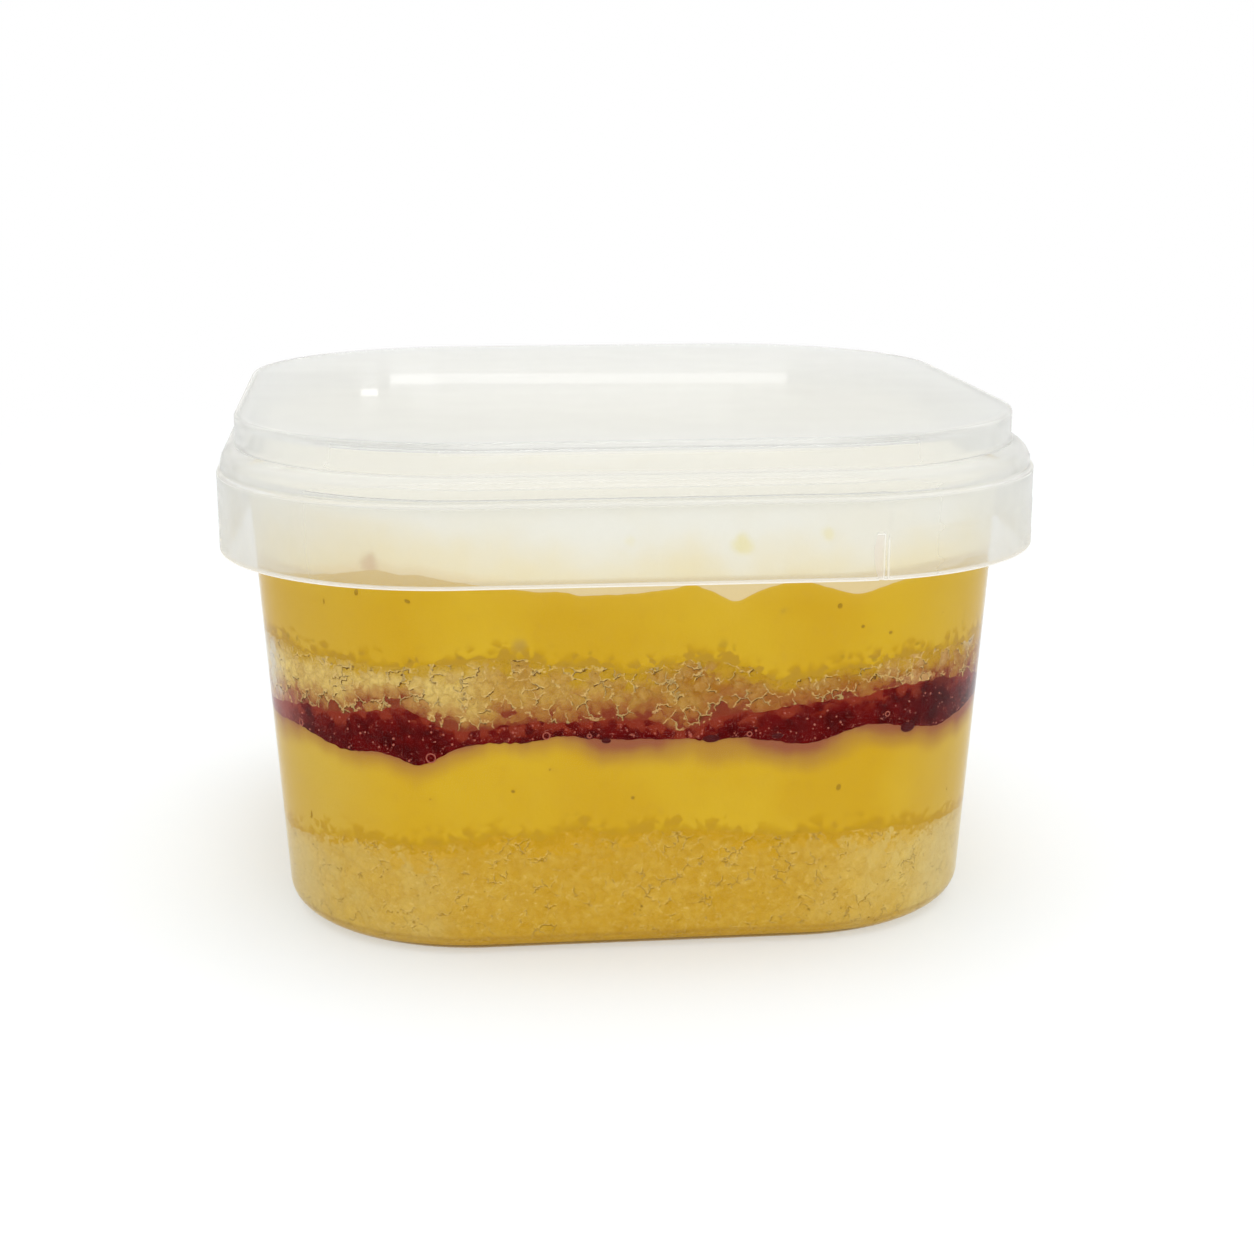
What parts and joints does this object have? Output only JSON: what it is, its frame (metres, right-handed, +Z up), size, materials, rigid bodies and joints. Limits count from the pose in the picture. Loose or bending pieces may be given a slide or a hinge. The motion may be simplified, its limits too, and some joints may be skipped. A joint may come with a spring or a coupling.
{
  "type": "layered cake pot",
  "caption": "Shut clear plastic pot, a rounded square with a press-on lid, holding a dessert of sponge, fruit curd, berry jam and cream in level layers.",
  "frame": {"origin": "middle of the tub's flat base, on the surface it stands on", "axes": "+Z up; the sides are square to X and Y, and the side shown in the picture faces -Y"},
  "size_m": [0.09, 0.09, 0.056],
  "materials": {
    "clear_plastic": "clear, glossy, thin moulded plastic",
    "frosted_plastic": "milky, slightly frosted moulded plastic with a soft gloss",
    "sponge": "pale yellow sponge cake, open crumb",
    "soaked_sponge": "sponge cake soaked from below with berry juice, open crumb",
    "curd": "smooth yellow fruit curd with small dark specks",
    "jam": "dark red berry jam with small bubbles",
    "cream": "soft white whipped cream"
  },
  "bodies": {
    "root": {"tub": "clear_plastic", "lid": "frosted_plastic", "base_sponge": "sponge", "lower_curd": "curd", "berry_jam": "jam", "middle_sponge": "soaked_sponge", "upper_curd": "curd", "cream": "cream"}
  },
  "joints": []
}
